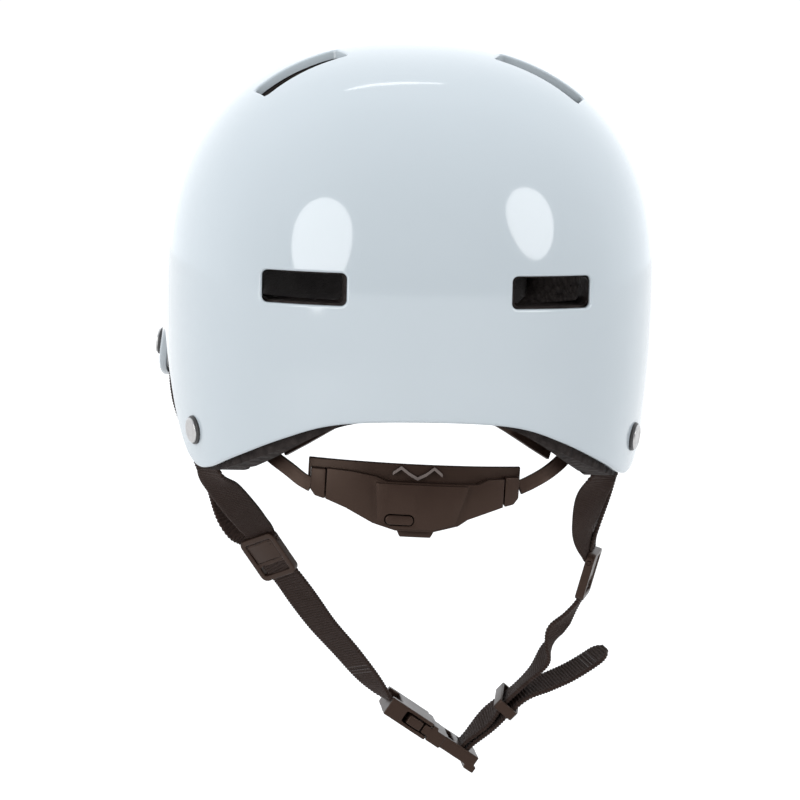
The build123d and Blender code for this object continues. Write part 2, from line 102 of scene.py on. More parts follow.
world = bpy.data.worlds.new("white_room")
scene.world = world
world.use_nodes = True
tree = world.node_tree
tree.nodes.clear()
place = tree.nodes.new("ShaderNodeTexCoord")
split = tree.nodes.new("ShaderNodeSeparateXYZ")
tree.links.new(place.outputs["Generated"], split.inputs[0])
ramp = tree.nodes.new("ShaderNodeMapRange")
ramp.inputs["From Min"].default_value, ramp.inputs["To Min"].default_value = ROOM_BEHIND
ramp.inputs["From Max"].default_value, ramp.inputs["To Max"].default_value = ROOM_AHEAD
tree.links.new(split.outputs["Y"], ramp.inputs["Value"])
dim = tree.nodes.new("ShaderNodeBackground")
dim.inputs["Color"].default_value = (0.93, 0.965, 1.0, 1)
tree.links.new(ramp.outputs["Result"], dim.inputs["Strength"])
seen = tree.nodes.new("ShaderNodeBackground")
seen.inputs["Color"].default_value = (1, 1, 1, 1)
seen.inputs["Strength"].default_value = ROOM_SEEN
path = tree.nodes.new("ShaderNodeLightPath")
mix = tree.nodes.new("ShaderNodeMixShader")
tree.links.new(path.outputs["Is Camera Ray"], mix.inputs["Fac"])
tree.links.new(dim.outputs[0], mix.inputs[1])
tree.links.new(seen.outputs[0], mix.inputs[2])
out = tree.nodes.new("ShaderNodeOutputWorld")
tree.links.new(mix.outputs[0], out.inputs[0])

for name, spot, size, power in (("softbox_left", (-1.047, -1.31, 0.457), (0.98, 1.15), 13.0),
                                ("softbox_right", (1.13, -1.117, 0.705), (0.76, 0.92), 8.2),
                                ("top_strip", (-0.09, 0.70, 1.76), (0.62, 0.07), 0.35)):
    light = bpy.data.lights.new(name, "AREA")
    light.shape = "ELLIPSE"
    light.size, light.size_y = size
    light.energy = power
    lamp = bpy.data.objects.new(name, light)
    scene.collection.objects.link(lamp)
    aim = (Vector(LIGHTS_AIM) - Vector(spot)).to_track_quat("-Z", "Y")
    lamp.matrix_world = Matrix.Translation(spot) @ aim.to_matrix().to_4x4()


def new_material(name, colour, roughness, **settings):
    """A principled material; settings are the shader's own sockets."""
    material = bpy.data.materials.new(name)
    material.use_nodes = True
    shader = material.node_tree.nodes["Principled BSDF"]
    shader.inputs["Base Color"].default_value = (*colour, 1)
    shader.inputs["Roughness"].default_value = roughness
    for key, value in settings.items():
        shader.inputs[key.replace("_", " ")].default_value = value
    return material, material.node_tree, shader


def add(tree, kind, **values):
    """One shader node with its properties or inputs set."""
    node = tree.nodes.new("ShaderNode" + kind)
    for key, value in values.items():
        if key in node.inputs:
            node.inputs[key].default_value = value
        else:
            setattr(node, key, value)
    return node


def pattern(tree, kind, socket="Object", **values):
    """A texture node laid by the piece's own coordinates."""
    place = add(tree, "TexCoord")
    texture = add(tree, kind, **values)
    tree.links.new(place.outputs[socket], texture.inputs["Vector"])
    return texture


def bump(tree, shader, height, distance, strength):
    """A bump fed by a height socket."""
    node = add(tree, "Bump", Strength=strength, Distance=distance)
    tree.links.new(height, node.inputs["Height"])
    tree.links.new(node.outputs["Normal"], shader.inputs["Normal"])


def vary_roughness(tree, shader, factor, low, high):
    """Roughness between two values by a factor socket."""
    spread = add(tree, "MapRange")
    spread.inputs["To Min"].default_value = low
    spread.inputs["To Max"].default_value = high
    tree.links.new(factor, spread.inputs["Value"])
    tree.links.new(spread.outputs["Result"], shader.inputs["Roughness"])


def vary_colour(tree, shader, factor, low, high):
    """Base colour between two colours by a factor socket."""
    mixer = add(tree, "Mix", data_type="RGBA")
    mixer.inputs[6].default_value = (*low, 1)
    mixer.inputs[7].default_value = (*high, 1)
    tree.links.new(factor, mixer.inputs[0])
    tree.links.new(mixer.outputs[2], shader.inputs["Base Color"])


def new_piece(name, mesh, material, body, slot, *replaced):
    """A finished mesh as a piece of the helmet."""
    piece = bpy.data.objects.new(name, mesh)
    scene.collection.objects.link(piece)
    mesh.materials.clear()
    mesh.materials.append(material)
    if body:
        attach(piece, body)
    if replaced:
        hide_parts(*replaced)
    return piece


def dress(node, material):
    """A frame piece kept as it is, in a material of its own."""
    nodes[node].data.materials.clear()
    nodes[node].data.materials.append(material)


def smoothed(mesh):
    """The mesh with smooth shading on every face."""
    mesh.polygons.foreach_set("use_smooth", [True] * len(mesh.polygons))
    return mesh


def mesh_from(name, points, faces):
    """A smooth mesh from points in millimetres."""
    mesh = bpy.data.meshes.new(name)
    mesh.from_pydata([tuple(v) for v in np.asarray(points, float) * MM], [], faces)
    smoothed(mesh)
    mesh.update()
    return mesh


def outward(mesh):
    """The mesh with its faces turned outwards."""
    cleaner = bmesh.new()
    cleaner.from_mesh(mesh)
    bmesh.ops.recalc_face_normals(cleaner, faces=cleaner.faces)
    cleaner.to_mesh(mesh)
    cleaner.free()
    return mesh


def band_faces(rows, count, base=0):
    """Quads between neighbouring closed rings of points."""
    faces = []
    for r in range(rows - 1):
        near, far = base + r * count, base + (r + 1) * count
        for i in range(count):
            after = (i + 1) % count
            faces.append((near + i, near + after, far + after, far + i))
    return faces


def work_object(name, mesh):
    """An object in the scene to put modifiers on."""
    work = bpy.data.objects.new(name, mesh)
    scene.collection.objects.link(work)
    return work


def modified(work):
    """A new mesh of the object with its modifiers applied."""
    bpy.context.view_layer.update()
    graph = bpy.context.evaluated_depsgraph_get()
    return bpy.data.meshes.new_from_object(work.evaluated_get(graph))


floor_mesh = bpy.data.meshes.new("floor")
floor_corners = [(x * FLOOR_REACH, y * FLOOR_REACH, FLOOR_Z) for x, y in ((-1, -1), (1, -1), (1, 1), (-1, 1))]
floor_mesh.from_pydata(floor_corners, [], [(0, 1, 2, 3)])
floor = bpy.data.objects.new("floor", floor_mesh)
scene.collection.objects.link(floor)
pale, pale_tree, pale_shader = new_material("pale_floor", (0.52, 0.52, 0.52), 0.9)
pale_shader.inputs["Emission Color"].default_value = (1, 1, 1, 1)
seen_floor = add(pale_tree, "LightPath")
either = add(pale_tree, "Math", operation="ADD")
lift = add(pale_tree, "Math", operation="MULTIPLY")
lift.inputs[1].default_value = FLOOR_SEEN
pale_tree.links.new(seen_floor.outputs["Is Camera Ray"], either.inputs[0])
pale_tree.links.new(seen_floor.outputs["Is Glossy Ray"], either.inputs[1])
pale_tree.links.new(either.outputs[0], lift.inputs[0])
pale_tree.links.new(lift.outputs[0], pale_shader.inputs["Emission Strength"])
floor_mesh.materials.append(pale)

# ---------------------------------------------------------------------------------------------------
# The shell: one injection-moulded plastic dome, 3.5 mm thick, polished cool white, with a rounded lower
# edge and ten ventilation holes with rounded lips.
HALF_WIDTH, HALF_REAR, HALF_FRONT = 108.5, 130.0, 142.0
WIDEST_Z, CROWN_RISE = 52.0, 110.0
PROFILE_POWER, REAR_POWER, FRONT_POWER = 2.45, 2.4, 2.3
SHELL_WALL = 3.5
LOBE_ANGLE, LOBE_SPREAD, LOBE_OUT = radians(18), radians(16), 6.0      # low swelling before each ear
LOBE_TOP, LOBE_FADE = 50.0, 40.0
LOW_DRAW, LOW_SPAN = 0.055, 80.0
RIM_PASSES = 80
RIM = [(-136, 8), (-130, 6), (-124, 3.5), (-113, -4), (-102, -10.5), (-88, -17), (-76, -21.5), (-66, -22.5),
       (-55, -18), (-42, -4), (-28, 14), (-12, 27), (2, 30), (14, 26), (25, 13), (38, 6), (60, 8), (100, 16),
       (150, 20)]


def rim_height(y):
    """Side-view height of the lower edge, a smooth curve through the rim's points."""
    ys, zs = np.array(RIM, float).T
    slopes = np.gradient(zs, ys)
    k = np.clip(np.searchsorted(ys, y) - 1, 0, len(ys) - 2)
    gap = ys[k + 1] - ys[k]
    t = np.clip((y - ys[k]) / gap, 0, 1)
    return ((2 * t**3 - 3 * t**2 + 1) * zs[k] + (t**3 - 2 * t**2 + t) * gap * slopes[k]
            + (3 * t**2 - 2 * t**3) * zs[k + 1] + (t**3 - t**2) * gap * slopes[k + 1])


def plan_radius(angle, z):
    """Distance of the wall from the middle, before it draws in with height."""
    c, s = np.cos(angle), np.sin(angle)
    depth = np.where(s >= 0, HALF_FRONT, HALF_REAR)
    power = np.where(s >= 0, FRONT_POWER, REAR_POWER)
    r = (np.abs(c / HALF_WIDTH) ** power + np.abs(s / depth) ** power) ** (-1 / power)
    t = np.clip((LOBE_TOP - z) / LOBE_FADE, 0, 1)
    fade = t * t * (3 - 2 * t)
    for centre in (LOBE_ANGLE, pi - LOBE_ANGLE):
        around = (angle - centre + pi) % (2 * pi) - pi
        r = r + LOBE_OUT * fade * np.exp(-((around / LOBE_SPREAD) ** 2))
    return r


def wall_point(angle, z, scale):
    """Points of the dome at an angle and height."""
    r = plan_radius(angle, z) * scale
    return np.stack([r * np.cos(angle), r * np.sin(angle), z + 0 * r], -1)


def low_scale(z):
    """How far the wall draws in below its widest level."""
    return 1.0 - LOW_DRAW * ((WIDEST_Z - z) / LOW_SPAN) ** 2


def dome_grid(angles):
    """Rows of points from the crown down to just above the rim, and the rim's own points."""
    rim_z = np.zeros_like(angles)
    for _ in range(RIM_PASSES):
        y = wall_point(angles, rim_z, low_scale(rim_z))[:, 1]
        rim_z = 0.5 * rim_z + 0.5 * rim_height(y)
    rows = []
    for phi in np.radians(np.linspace(CROWN_START, 0, UPPER_ROWS)):
        z = WIDEST_Z + CROWN_RISE * np.sin(phi) ** (2 / PROFILE_POWER) + 0 * angles
        rows.append(wall_point(angles, z, np.cos(phi) ** (2 / PROFILE_POWER)))
    for t in np.linspace(0, 1, LOWER_ROWS + 1)[1:]:
        z = WIDEST_Z + (rim_z + OUTER_ROUND - WIDEST_Z) * t
        rows.append(wall_point(angles, z, low_scale(z)))
    return np.array(rows), wall_point(angles, rim_z, low_scale(rim_z))


def grid_normals(rows):
    """Outward unit normals of a closed ring grid."""
    down = np.gradient(rows, axis=0)
    around = np.roll(rows, -1, 1) - np.roll(rows, 1, 1)
    normal = np.cross(down, around)
    return normal / np.linalg.norm(normal, axis=2, keepdims=True)


def shell_surface(points):
    """Zero on the outer face above the widest level, negative inside."""
    x, y, z = points[..., 0], points[..., 1], points[..., 2]
    depth = np.where(y >= 0, HALF_FRONT, HALF_REAR)
    power = np.where(y >= 0, FRONT_POWER, REAR_POWER)
    plan = (np.abs(x / HALF_WIDTH) ** power + np.abs(y / depth) ** power) ** (1 / power)
    return plan ** PROFILE_POWER + np.maximum(0, (z - WIDEST_Z) / CROWN_RISE) ** PROFILE_POWER - 1


def surface_normal(points):
    """Outward normal of the outer face."""
    step = 0.05
    parts = [shell_surface(points + np.eye(3)[i] * step) - shell_surface(points - np.eye(3)[i] * step)
             for i in range(3)]
    normal = np.stack(parts, -1)
    return normal / np.linalg.norm(normal, axis=-1, keepdims=True)


COLUMNS, UPPER_ROWS, LOWER_ROWS = 300, 84, 36
CROWN_START = 89.3                  # degrees; the last bit up to the crown is closed with a fan
OUTER_ROUND, INNER_ROUND = 1.2, 0.8
angles = np.linspace(-pi, pi, COLUMNS, endpoint=False)
outer, rim_points = dome_grid(angles)
normals = grid_normals(outer)
rim_normal = normals[-1]
rim_down = rim_points - outer[-1]
rim_down -= (rim_down * rim_normal).sum(1, keepdims=True) * rim_normal
rim_down /= np.linalg.norm(rim_down, axis=1, keepdims=True)
edge_rows = []
for bend in np.linspace(0, 90, 6):
    edge_rows.append(rim_points - rim_down * OUTER_ROUND * (1 - sin(radians(bend)))
                     - rim_normal * OUTER_ROUND * (1 - cos(radians(bend))))
for bend in np.linspace(0, 90, 4):
    depth = SHELL_WALL - INNER_ROUND * (1 - sin(radians(bend)))
    edge_rows.append(rim_points - rim_down * INNER_ROUND * (1 - cos(radians(bend))) - rim_normal * depth)
inner = (outer - normals * SHELL_WALL)[::-1][1:]
all_rows = np.concatenate([outer[:-1], np.array(edge_rows), inner])
row_count = len(all_rows)
points = all_rows.reshape(-1, 3)
crown = np.array([[0, 0, WIDEST_Z + CROWN_RISE], [0, 0, WIDEST_Z + CROWN_RISE - SHELL_WALL]])
points = np.concatenate([points, crown])
faces = []
for r in range(row_count - 1):
    near, far = r * COLUMNS, (r + 1) * COLUMNS
    for i in range(COLUMNS):
        after = (i + 1) % COLUMNS
        faces.append((near + i, far + i, far + after, near + after))
faces += [(row_count * COLUMNS, i, (i + 1) % COLUMNS) for i in range(COLUMNS)]
last = (row_count - 1) * COLUMNS
faces += [(row_count * COLUMNS + 1, last + (i + 1) % COLUMNS, last + i) for i in range(COLUMNS)]
shell_mesh = mesh_from("shell_body", points, faces)

SHELL_CREASE = radians(40)
ON_FACE, SAME_WAY = 2e-3, 0.9       # how near to the outer face, and how well a face agrees with it
VENT_CORNER, VENT_LIP = 2.4, 1.0
VENT_CUT = (-8, 90)                 # how far each cutter reaches in and out of its origin
SEARCH_FROM, SEARCH_TO, SEARCH_STEPS = -60.0, 120.0, 50
LEAST_FACING = 0.35
VENTS = []          # origin, direction along, direction up, direction out, width, height
for side in (-1, 1):
    VENTS.append(((side * 51.25, -100, 59), (1, 0, 0), (0, 0, 1), (0, -1, 0), 34.5, 13.5))
    VENTS.append(((side * 51.25, 100, 66), (1, 0, 0), (0, 0, 1), (0, 1, 0), 34.5, 13.5))
    for fore in (-1, 1):
        lean = radians(16) * side * fore
        VENTS.append(((side * 51.5, fore * 50, 120), (cos(lean), sin(lean), 0), (-sin(lean), cos(lean), 0),
                      (0, 0, 1), 37, 17))
    VENTS.append(((side * 75, 8, 119), (0, 1, 0), (0, 0, 1), (side, 0, 0), 17, 30))


def rounded_outline(width, height, radius, grow=0.0, corner_steps=7, side_steps=10):
    """Outline of a rounded rectangle, anticlockwise."""
    w, h, r = width / 2 + grow, height / 2 + grow, radius + grow
    outline = []
    corners = [(w - r, h - r, 0), (-w + r, h - r, 90), (-w + r, -h + r, 180), (w - r, -h + r, 270)]
    for k, (cx, cy, start) in enumerate(corners):
        turns = [radians(start + 90 * i / corner_steps) for i in range(corner_steps + 1)]
        arc = [(cx + r * cos(a), cy + r * sin(a)) for a in turns]
        outline += arc
        nx, ny, nstart = corners[(k + 1) % 4]
        goal = (nx + r * cos(radians(nstart)), ny + r * sin(radians(nstart)))
        outline += [(arc[-1][0] + (goal[0] - arc[-1][0]) * i / side_steps,
                     arc[-1][1] + (goal[1] - arc[-1][1]) * i / side_steps) for i in range(1, side_steps)]
    return np.array(outline)


def on_shell(origin, along, up, out, outline):
    """Outline points pushed out to the shell's outer face."""
    base = np.array(origin) + outline[:, :1] * np.array(along) + outline[:, 1:] * np.array(up)
    low, high = np.full(len(base), SEARCH_FROM), np.full(len(base), SEARCH_TO)
    for _ in range(SEARCH_STEPS):
        middle = (low + high) / 2
        inside = shell_surface(base + middle[:, None] * np.array(out)) < 0
        low, high = np.where(inside, middle, low), np.where(inside, high, middle)
    return base + low[:, None] * np.array(out)


def prism(name, origin, along, up, out, outline, near, far):
    """Closed prism for cutting."""
    base = np.array(origin) + outline[:, :1] * np.array(along) + outline[:, 1:] * np.array(up)
    count = len(base)
    points = np.concatenate([base + near * np.array(out), base + far * np.array(out)])
    faces = [tuple(range(count)), tuple(range(2 * count - 1, count - 1, -1))]
    faces += [(i, count + i, count + (i + 1) % count, (i + 1) % count) for i in range(count)]
    return outward(mesh_from(name, points, faces))


lip_points, lip_faces = [], []
cutters = bpy.data.collections.new("vent_cutters")
scene.collection.children.link(cutters)
for k, (origin, along, up, out, width, height) in enumerate(VENTS):
    outline = rounded_outline(width, height, VENT_CORNER, grow=VENT_LIP)
    cut = bpy.data.objects.new(f"cut_{k}", prism(f"cut_{k}", origin, along, up, out, outline, *VENT_CUT))
    cutters.objects.link(cut)
    rows = []
    for bend in np.linspace(0, 90, 7):
        ring = on_shell(origin, along, up, out,
                        rounded_outline(width, height, VENT_CORNER, grow=VENT_LIP * (1 - sin(radians(bend)))))
        rows.append(ring - surface_normal(ring) * VENT_LIP * (1 - cos(radians(bend))))
    facing = np.maximum(LEAST_FACING, (surface_normal(ring) * np.array(out)).sum(1, keepdims=True))
    lip_end = rows[-1]
    for share in (0.5, 1.0):
        rows.append(lip_end - np.array(out) * (SHELL_WALL - VENT_LIP) * share / facing)
    count = len(ring)
    base = len(lip_points)
    for row in rows:
        lip_points += list(row)
    ring_faces = band_faces(len(rows), count, base)
    if np.dot(np.cross(along, up), out) < 0:
        ring_faces = [tuple(reversed(face)) for face in ring_faces]
    lip_faces += ring_faces
shell_object = work_object("shell_work", shell_mesh)
cut_away = shell_object.modifiers.new("vents", "BOOLEAN")
cut_away.operation = "DIFFERENCE"
cut_away.solver = "EXACT"
cut_away.operand_type = "COLLECTION"
cut_away.collection = cutters
shell_mesh = modified(shell_object)
shell_mesh.name = "shell_body"
bpy.data.objects.remove(shell_object)
for cut in list(cutters.objects):
    bpy.data.objects.remove(cut)
bpy.data.collections.remove(cutters)
smoothed(shell_mesh).set_sharp_from_angle(angle=SHELL_CREASE)

# The outer face takes its normals from the formula, so that reflections run smoothly past the vents.
where = np.zeros(len(shell_mesh.vertices) * 3)
shell_mesh.vertices.foreach_get("co", where)
where = where.reshape(-1, 3) / MM
true_normal = surface_normal(where)
level = np.abs(shell_surface(where)) < ON_FACE
level &= where[:, 2] > WIDEST_Z + 0.5
loop_normals = np.zeros((len(shell_mesh.loops), 3))
for face in shell_mesh.polygons:
    facing = np.array(face.normal)
    for loop in face.loop_indices:
        vertex = shell_mesh.loops[loop].vertex_index
        if level[vertex] and true_normal[vertex] @ facing > SAME_WAY:
            loop_normals[loop] = true_normal[vertex]
shell_mesh.normals_split_custom_set(loop_normals.tolist())

white, white_tree, white_shader = new_material("polished_white_shell", (0.53, 0.585, 0.62), 0.07,
                                               Coat_Weight=0.25, Coat_Roughness=0.03)
haze = pattern(white_tree, "TexNoise", Scale=22.0, Detail=3.0, Roughness=0.5)
vary_colour(white_tree, white_shader, haze.outputs["Fac"], (0.52, 0.575, 0.61), (0.54, 0.592, 0.628))
vary_roughness(white_tree, white_shader, haze.outputs["Fac"], 0.05, 0.10)
ripple = pattern(white_tree, "TexNoise", Scale=60.0, Detail=1.0)
bump(white_tree, white_shader, ripple.outputs["Fac"], 0.00006, 0.5)
new_piece("shell_skin", shell_mesh, white, "helmet", "shell", "shell")
new_piece("vent_lips", mesh_from("vent_lips", lip_points, lip_faces), white, "helmet", "shell")

# ---------------------------------------------------------------------------------------------------
# The liner: black expanded-bead foam moulded to the shell, open at the vents. It stays as the frame has it
# and takes a bead pattern of about three millimetres in its bump, with painted shade in the seams between the
# beads.
FINE_SHARE = 0.3
foam, foam_tree, foam_shader = new_material("bead_foam", (0.03, 0.025, 0.024), 0.75, Specular_IOR_Level=0.12)
beads = pattern(foam_tree, "TexVoronoi", Scale=330.0, feature="SMOOTH_F1")
fine = pattern(foam_tree, "TexNoise", Scale=900.0, Detail=4.0)
bead_mix = add(foam_tree, "Math", operation="MULTIPLY_ADD")
foam_tree.links.new(fine.outputs["Fac"], bead_mix.inputs[0])
bead_mix.inputs[1].default_value = FINE_SHARE
foam_tree.links.new(beads.outputs["Distance"], bead_mix.inputs[2])
bump(foam_tree, foam_shader, bead_mix.outputs[0], -0.0012, 0.9)
# Painted shade: the foam colour is lighter on the bead tops and near black in the sunken seams between the
# beads, where shade falls.
vary_colour(foam_tree, foam_shader, beads.outputs["Distance"], (0.045, 0.036, 0.033), (0.007, 0.005, 0.005))
dress("liner", foam)

# ---------------------------------------------------------------------------------------------------
# Fit pads: knitted fabric over soft foam, stuck inside the liner with hook-and-loop. Each starts from
# its frame solid, is given an even skin and softened edges, and is blown up gently as cloth.
knit, knit_tree, knit_shader = new_material("knit_pad", (0.03, 0.027, 0.026), 0.9, Sheen_Weight=0.12,
                                            Sheen_Roughness=0.4, Specular_IOR_Level=0.2)
loops = pattern(knit_tree, "TexVoronoi", Scale=1100.0)
patch = pattern(knit_tree, "TexNoise", Scale=90.0, Detail=3.0)
vary_colour(knit_tree, knit_shader, patch.outputs["Fac"], (0.018, 0.016, 0.016), (0.055, 0.05, 0.048))
bump(knit_tree, knit_shader, loops.outputs["Distance"], 0.0004, 0.7)
WIDE_GRAIN, SMALL_GRAIN, PAD_PASSES = 0.003, 0.0022, 6
PADS = [("crown_pad", "helmet", 2.2, WIDE_GRAIN), ("side_pad_left", "helmet", 2.0, WIDE_GRAIN),
        ("side_pad_right", "helmet", 2.0, WIDE_GRAIN), ("brow_pad", "helmet", 2.0, WIDE_GRAIN),
        ("rear_pad", "helmet", 2.0, WIDE_GRAIN), ("nape_pad", "cradle", 1.2, SMALL_GRAIN)]
CLOTH_STEPS, CLOTH_QUALITY, CLOTH_PRESSURE, CLOTH_MASS = 12, 5, 3.0, 0.2


def soft_pad(node, body, puff, grain):
    """A crowned pad from its frame solid, swollen as cloth by at most puff millimetres."""
    work = work_object(node + "_cover", nodes[node].data.copy())
    skin = work.modifiers.new("skin", "REMESH")
    skin.mode = "VOXEL"
    skin.voxel_size = grain
    soften = work.modifiers.new("soften", "SMOOTH")
    soften.iterations = PAD_PASSES
    soften.factor = 0.5
    mesh = modified(work)
    work.modifiers.clear()
    work.data = mesh
    rest = np.array([v.co for v in mesh.vertices])
    cloth = work.modifiers.new("cloth", "CLOTH")
    cloth.settings.use_pressure = True
    cloth.settings.uniform_pressure_force = CLOTH_PRESSURE
    cloth.settings.effector_weights.gravity = 0
    cloth.settings.quality = CLOTH_QUALITY
    cloth.settings.mass = CLOTH_MASS
    for step in range(1, CLOTH_STEPS + 1):
        scene.frame_set(step)
    graph = bpy.context.evaluated_depsgraph_get()
    swollen = bpy.data.meshes.new_from_object(work.evaluated_get(graph))
    moved = np.array([v.co for v in swollen.vertices]) - rest
    distance = np.linalg.norm(moved, axis=1, keepdims=True)
    moved *= np.minimum(1, puff * MM / np.maximum(distance, 1e-9))
    work.modifiers.clear()
    mesh.vertices.foreach_set("co", (rest + moved).ravel())
    mesh.update()
    scene.frame_set(1)
    bpy.data.objects.remove(work)
    mesh.name = node + "_cover"
    piece = new_piece(node + "_cover", smoothed(mesh), knit, body, "padding", node)


for node, body, puff, grain in PADS:
    soft_pad(node, body, puff, grain)

# ---------------------------------------------------------------------------------------------------
# Rivets: turned steel caps on a dark collar, one at each upper end of the webbing. A cloud of points,
# each holding its own turn, places the copies.
steel, steel_tree, steel_shader = new_material("satin_steel", (0.48, 0.47, 0.465), 0.30, Metallic=1.0)
brushing = pattern(steel_tree, "TexNoise", Scale=700.0, Detail=2.0)
vary_colour(steel_tree, steel_shader, brushing.outputs["Fac"], (0.40, 0.39, 0.385), (0.56, 0.55, 0.545))
bump(steel_tree, steel_shader, brushing.outputs["Fac"], 0.00003, 0.6)
dark_steel, dark_tree, dark_shader = new_material("dark_collar", (0.03, 0.028, 0.028), 0.4)
dark_grain = pattern(dark_tree, "TexNoise", Scale=500.0, Detail=2.0)
bump(dark_tree, dark_shader, dark_grain.outputs["Fac"], 0.00005, 0.5)
RIVET_STEPS = 48


def turned(name, profile, steps=RIVET_STEPS):
    """A closed turned part about its own z axis, from (radius, height) points in millimetres."""
    points = []
    for r, z in profile:
        points += [(r * cos(2 * pi * i / steps), r * sin(2 * pi * i / steps), z) for i in range(steps)]
    faces = band_faces(len(profile), steps)
    faces.append(tuple(reversed(range(steps))))
    faces.append(tuple(range((len(profile) - 1) * steps, len(profile) * steps)))
    return mesh_from(name, points, faces)


def copies_tree(name, part):
    """Geometry nodes that put one part on every point, turned by the point's own angles."""
    group = bpy.data.node_groups.new(name, "GeometryNodeTree")
    group.interface.new_socket("Geometry", in_out="INPUT", socket_type="NodeSocketGeometry")
    size = group.interface.new_socket("Copy size", in_out="INPUT", socket_type="NodeSocketFloat")
    group.interface.new_socket("Geometry", in_out="OUTPUT", socket_type="NodeSocketGeometry")
    start, end = group.nodes.new("NodeGroupInput"), group.nodes.new("NodeGroupOutput")
    info = group.nodes.new("GeometryNodeObjectInfo")
    info.inputs["Object"].default_value = part
    angles_in = group.nodes.new("GeometryNodeInputNamedAttribute")
    angles_in.data_type = "FLOAT_VECTOR"
    angles_in.inputs["Name"].default_value = "turn"
    turn_by = group.nodes.new("FunctionNodeEulerToRotation")
    spread = group.nodes.new("GeometryNodeInstanceOnPoints")
    real = group.nodes.new("GeometryNodeRealizeInstances")
    paint = group.nodes.new("GeometryNodeSetMaterial")
    paint.inputs["Material"].default_value = part.data.materials[0]
    group.links.new(start.outputs["Geometry"], spread.inputs["Points"])
    group.links.new(info.outputs["Geometry"], spread.inputs["Instance"])
    group.links.new(angles_in.outputs["Attribute"], turn_by.inputs[0])
    group.links.new(turn_by.outputs[0], spread.inputs["Rotation"])
    group.links.new(start.outputs["Copy size"], spread.inputs["Scale"])
    group.links.new(spread.outputs["Instances"], real.inputs[0])
    group.links.new(real.outputs[0], paint.inputs["Geometry"])
    group.links.new(paint.outputs[0], end.inputs[0])
    return group, size.identifier


def copies(name, part_mesh, material, spots, body, slot, *replaced, size=1.0):
    """One mesh holding a copy of a part at every (place, x axis, z axis), made by geometry nodes."""
    part_mesh.materials.append(material)
    part = work_object(name + "_part", part_mesh)
    cloud = bpy.data.meshes.new(name + "_points")
    cloud.from_pydata([tuple(Vector(p) * MM) for p, _, _ in spots], [], [])
    turns = cloud.attributes.new("turn", "FLOAT_VECTOR", "POINT")
    for i, (_, x_axis, z_axis) in enumerate(spots):
        z = Vector(z_axis).normalized()
        x = (Vector(x_axis) - z * Vector(x_axis).dot(z)).normalized()
        turns.data[i].vector = Matrix((x, z.cross(x), z)).transposed().to_euler()
    holder = work_object(name + "_holder", cloud)
    group, size_socket = copies_tree(name + "_copies", part)
    modifier = holder.modifiers.new("copies", "NODES")
    modifier.node_group = group
    modifier[size_socket] = size
    mesh = modified(holder)
    bpy.data.objects.remove(holder)
    bpy.data.objects.remove(part)
    new_piece(name, mesh, material, body, slot, *replaced)


def wall_spot(angle, z):
    """Place, direction round the wall and outward normal of the shell below its widest level."""
    spots = ((angle, z), (angle + 0.01, z), (angle, z + 1))
    at = [wall_point(np.array(a), np.array(h), low_scale(h)) for a, h in spots]
    around = Vector(at[1] - at[0]).normalized()
    return Vector(at[0]), around, around.cross(Vector(at[2] - at[0])).normalized()


RIVET_SPOTS = []
for angle, z in ((-35.5, -6.5), (17.5, 22.0)):
    for facing_angle in (radians(angle), pi - radians(angle)):
        RIVET_SPOTS.append(wall_spot(facing_angle, z))
collar = turned("collar", [(6.2, -0.6), (6.25, 0.55), (6.0, 1.0), (5.3, 1.15), (4.0, 1.15)])
copies("rivet_collars", collar, dark_steel, RIVET_SPOTS, "helmet", "stud_metal")
cap_profile = [(5.35, 0.9), (5.45, 1.5), (5.3, 1.85), (4.9, 2.05), (3.4, 2.2), (3.1, 2.05), (2.7, 1.98),
               (1.2, 2.0), (0.3, 2.02)]
copies("rivet_caps", turned("rivet_cap", cap_profile), steel, RIVET_SPOTS, "helmet", "rivet",
       "rear_rivet_left", "rear_rivet_right", "front_rivet_left", "front_rivet_right")

# ---------------------------------------------------------------------------------------------------
# Webbing: 15 mm ribbed polyester tape, 1.5 mm thick, running from the rivets through the dividers to
# the chin buckle. The cross ribs are in the mesh and a fine twill is in the bump.
WEB_WIDTH, WEB_THICK, RIB_PITCH, RIB_DEPTH = 15.0, 1.5, 1.5, 0.26
TWILL_TURN = radians(38)
EDGE_START, EDGE_SPAN = 0.94, 0.06  # shares of the half width where the edge starts to round
EDGE_RIB, SIDE_RIB, SELVAGE = 0.4, 0.7, 0.12
END_WIDTH = 0.12
CURVE_SAMPLES, ACROSS_SCALE, FEWEST_ROWS, WEB_STEP = 40, 10, 8, 0.25
WEB_CREASE = radians(60)
tape, tape_tree, tape_shader = new_material("ribbed_webbing", (0.035, 0.021, 0.017), 0.66, Sheen_Weight=0.04,
                                            Sheen_Roughness=0.4, Specular_IOR_Level=0.2,
                                            Specular_Tint=(1.0, 0.76, 0.64, 1))
tape_map = pattern(tape_tree, "Mapping", "UV")
tape_map.inputs["Rotation"].default_value = (0, 0, TWILL_TURN)
twill = add(tape_tree, "TexWave", Scale=2.2, Distortion=0.6)
twill.inputs["Detail"].default_value = 1.0
tape_tree.links.new(tape_map.outputs["Vector"], twill.inputs["Vector"])
threads = pattern(tape_tree, "TexNoise", "UV", Scale=1.4, Detail=4.0)
vary_colour(tape_tree, tape_shader, threads.outputs["Fac"], (0.020, 0.0115, 0.009), (0.058, 0.037, 0.031))
bump(tape_tree, tape_shader, twill.outputs["Fac"], 0.00018, 0.8)


